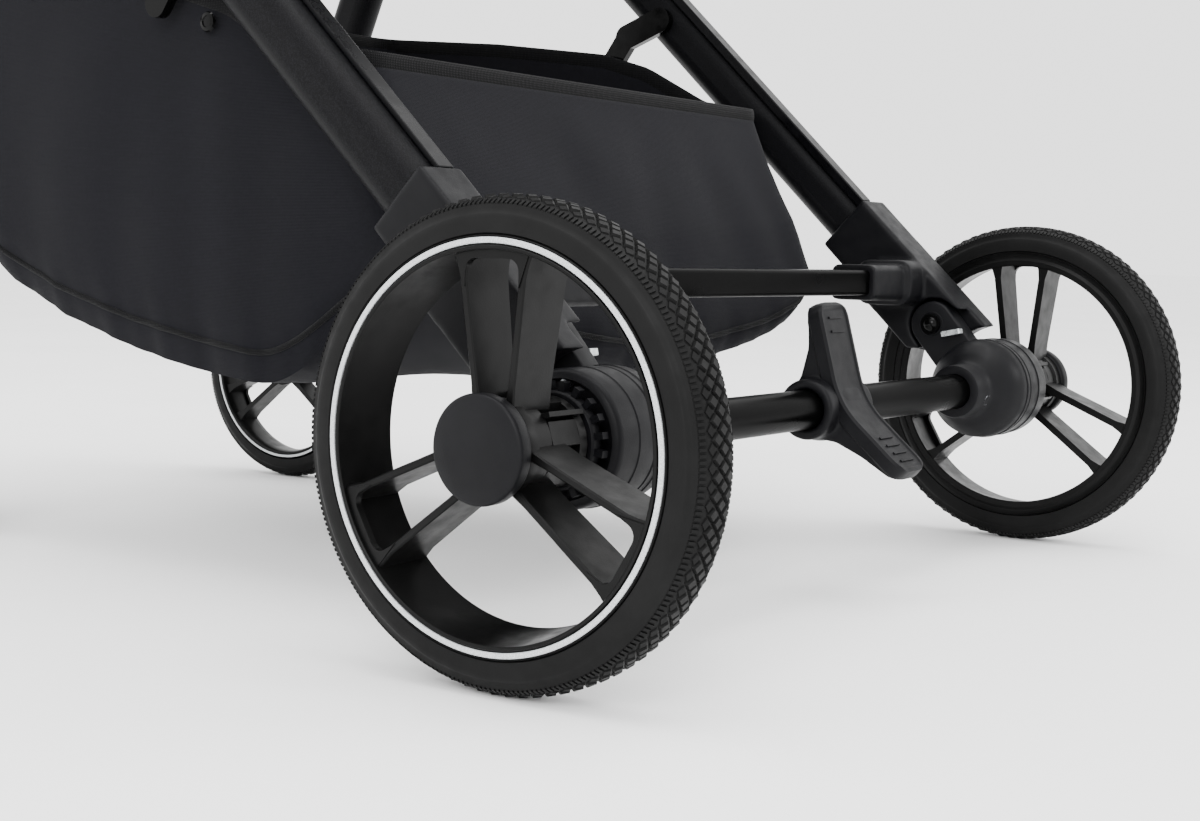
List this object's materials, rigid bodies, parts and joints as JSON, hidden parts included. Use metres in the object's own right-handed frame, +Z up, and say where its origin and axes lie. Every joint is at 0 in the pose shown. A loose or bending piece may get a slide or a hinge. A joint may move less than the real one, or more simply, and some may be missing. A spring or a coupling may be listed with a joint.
{
  "type": "baby stroller",
  "caption": "Folding baby stroller with swivel front wheels, sprung rear axle, rocker brake pedal, cloth cargo basket, reclining seat, bumper bar and folding canopy.",
  "frame": {"origin": "on the floor, at the middle of the wheels' footprint", "axes": "+Z up, +Y to the rear (towards the person pushing), +X to the stroller's left"},
  "size_m": [0.631, 0.793, 1.0465],
  "materials": {
    "tyre": "matt black foam tyre with a diamond tread",
    "wheel_plastic": "satin black moulded plastic",
    "reflective": "light grey reflective film",
    "casing": "matt dark grey moulded plastic",
    "black_tube": "gloss black paint on tube",
    "frame_tube": "textured dark grey powder coat",
    "steel": "plain steel",
    "rubber": "black rubber",
    "cloth": "charcoal woven cloth",
    "webbing": "black webbing",
    "grip": "black stitched leatherette",
    "red_button": "red plastic button"
  },
  "bodies": {
    "chassis": {"front_leg_left": "frame_tube", "front_leg_right": "frame_tube", "fold_hub_left": "casing", "fold_hub_right": "casing", "fold_pins": "steel", "swivel_housings": "casing", "seat_frame": "casing", "seat_cushion": "cloth", "buckle": "casing", "basket": "cloth"},
    "rear_frame": {"rear_leg_left": "frame_tube", "rear_leg_right": "frame_tube", "leg_rails": "casing", "rear_knuckles": "casing", "rear_bracket_left": "casing", "rear_bracket_right": "casing", "crossbar": "black_tube", "pivot_pins": "casing", "basket_hangers": "casing"},
    "suspension": {"axle_housing_left": "casing", "axle_housing_right": "casing", "axle_tube": "black_tube", "wheel_axles": "steel", "suspension_bushes": "rubber"},
    "rear_wheel_left": {"rear_tyre_left": "tyre", "rear_rim_left": "wheel_plastic", "rear_ring_left": "reflective", "rear_hub_cap_left": "wheel_plastic"},
    "rear_wheel_right": {"rear_tyre_right": "tyre", "rear_rim_right": "wheel_plastic", "rear_ring_right": "reflective", "rear_hub_cap_right": "wheel_plastic"},
    "brake_pedal": {"brake_pedal": "casing"},
    "brake_pin_left": {"brake_pin_left": "steel"},
    "brake_pin_right": {"brake_pin_right": "steel"},
    "release_tab_left": {"release_tab_left": "steel"},
    "release_tab_right": {"release_tab_right": "steel"},
    "front_fork_left": {"front_fork_left": "casing", "front_axle_left": "steel"},
    "front_fork_right": {"front_fork_right": "casing", "front_axle_right": "steel"},
    "front_wheel_left": {"front_tyre_left": "tyre", "front_rim_left": "wheel_plastic"},
    "front_wheel_right": {"front_tyre_right": "tyre", "front_rim_right": "wheel_plastic"},
    "swivel_lock_left": {"swivel_lock_left": "casing"},
    "swivel_lock_right": {"swivel_lock_right": "casing"},
    "handle": {"handlebar": "frame_tube", "handle_knuckles": "casing", "handle_grip": "grip", "canopy_rear_bow": "casing", "canopy": "cloth"},
    "fold_button": {"fold_button": "casing"},
    "canopy_middle": {"canopy_middle_bow": "casing"},
    "canopy_front": {"canopy_front_bow": "casing"},
    "backrest": {"backrest": "cloth", "harness": "webbing"},
    "leg_rest": {"leg_rest": "cloth"},
    "bumper_bar": {"bumper_bar": "grip"},
    "buckle_button": {"buckle_button": "red_button"}
  },
  "joints": [
    {"name": "handle_fold", "type": "hinge", "parent": "chassis", "child": "handle", "pos_m": [0, -0.1765, 0.56], "axis": [1, 0, 0], "range_deg": [0, 180], "deforming": ["basket"]},
    {"name": "rear_fold", "type": "hinge", "parent": "chassis", "child": "rear_frame", "pos_m": [0, -0.1765, 0.56], "axis": [-1, 0, 0], "range_deg": [0, 45]},
    {"name": "rear_suspension", "type": "hinge", "parent": "rear_frame", "child": "suspension", "pos_m": [0, 0.2535, 0.149], "axis": [1, 0, 0], "range_deg": [0, 8], "stiffness_Nm_per_rad": 120, "springref_deg": -4.58},
    {"name": "rear_wheel_spin_left", "type": "hinge", "parent": "suspension", "child": "rear_wheel_left", "pos_m": [0.2915, 0.2885, 0.108], "axis": [1, 0, 0], "continuous": true},
    {"name": "rear_wheel_spin_right", "type": "hinge", "parent": "suspension", "child": "rear_wheel_right", "pos_m": [-0.2915, 0.2885, 0.108], "axis": [1, 0, 0], "continuous": true},
    {"name": "brake_pedal_rock", "type": "hinge", "parent": "suspension", "child": "brake_pedal", "pos_m": [0, 0.2885, 0.108], "axis": [-1, 0, 0], "range_deg": [0, 14]},
    {"name": "brake_pin_slide_left", "type": "slide", "parent": "suspension", "child": "brake_pin_left", "axis": [1, 0, 0], "range_m": [0, 0.006]},
    {"name": "brake_pin_slide_right", "type": "slide", "parent": "suspension", "child": "brake_pin_right", "axis": [-1, 0, 0], "range_m": [0, 0.006]},
    {"name": "release_tab_press_left", "type": "slide", "parent": "suspension", "child": "release_tab_left", "axis": [1, 0, 0], "range_m": [0, 0.002], "stiffness_N_per_m": 800, "springref_m": -0.001},
    {"name": "release_tab_press_right", "type": "slide", "parent": "suspension", "child": "release_tab_right", "axis": [-1, 0, 0], "range_m": [0, 0.002], "stiffness_N_per_m": 800, "springref_m": -0.001},
    {"name": "fork_swivel_left", "type": "hinge", "parent": "chassis", "child": "front_fork_left", "pos_m": [0.186, -0.3315, 0.0002], "axis": [0, 0, 1], "continuous": true},
    {"name": "front_wheel_spin_left", "type": "hinge", "parent": "front_fork_left", "child": "front_wheel_left", "pos_m": [0.186, -0.3045, 0.092], "axis": [1, 0, 0], "continuous": true},
    {"name": "swivel_lock_drop_left", "type": "slide", "parent": "chassis", "child": "swivel_lock_left", "axis": [0, 0, -1], "range_m": [0, 0.007]},
    {"name": "fork_swivel_right", "type": "hinge", "parent": "chassis", "child": "front_fork_right", "pos_m": [-0.186, -0.3315, 0.0002], "axis": [0, 0, 1], "continuous": true},
    {"name": "front_wheel_spin_right", "type": "hinge", "parent": "front_fork_right", "child": "front_wheel_right", "pos_m": [-0.186, -0.3045, 0.092], "axis": [1, 0, 0], "continuous": true},
    {"name": "swivel_lock_drop_right", "type": "slide", "parent": "chassis", "child": "swivel_lock_right", "axis": [0, 0, -1], "range_m": [0, 0.007]},
    {"name": "backrest_recline", "type": "hinge", "parent": "chassis", "child": "backrest", "pos_m": [0, 0.0395, 0.555], "axis": [-1, 0, 0], "range_deg": [0, 45]},
    {"name": "leg_rest_raise", "type": "hinge", "parent": "chassis", "child": "leg_rest", "pos_m": [0, -0.2645, 0.526], "axis": [-1, 0, 0], "range_deg": [0, 75]},
    {"name": "bumper_bar_lift", "type": "hinge", "parent": "chassis", "child": "bumper_bar", "pos_m": [0, -0.1165, 0.72], "axis": [-1, 0, 0], "range_deg": [0, 70]},
    {"name": "canopy_open", "type": "hinge", "parent": "handle", "child": "canopy_front", "pos_m": [0, 0.07617, 0.7875], "axis": [-1, 0, 0], "range_deg": [-95, 0], "deforming": ["canopy"]},
    {"name": "canopy_open_middle", "type": "hinge", "parent": "handle", "child": "canopy_middle", "pos_m": [0, 0.07617, 0.7875], "axis": [-1, 0, 0], "range_deg": [-47.5, 0]},
    {"name": "fold_button_squeeze", "type": "slide", "parent": "handle", "child": "fold_button", "axis": [0, 0.7431, 0.6691], "range_m": [0, 0.006], "stiffness_N_per_m": 600, "springref_m": -0.003},
    {"name": "buckle_button_press", "type": "slide", "parent": "chassis", "child": "buckle_button", "axis": [0, 0, -1], "range_m": [0, 0.0025], "stiffness_N_per_m": 800, "springref_m": -0.001}
  ],
  "couplings": [
    {"joint": "rear_fold", "follows": "handle_fold", "ratio": 0.25},
    {"joint": "brake_pin_slide_left", "follows": "brake_pedal_rock", "m_per_rad": 0.0245},
    {"joint": "brake_pin_slide_right", "follows": "brake_pedal_rock", "m_per_rad": 0.0245},
    {"joint": "canopy_open_middle", "follows": "canopy_open", "ratio": 0.5}
  ]
}
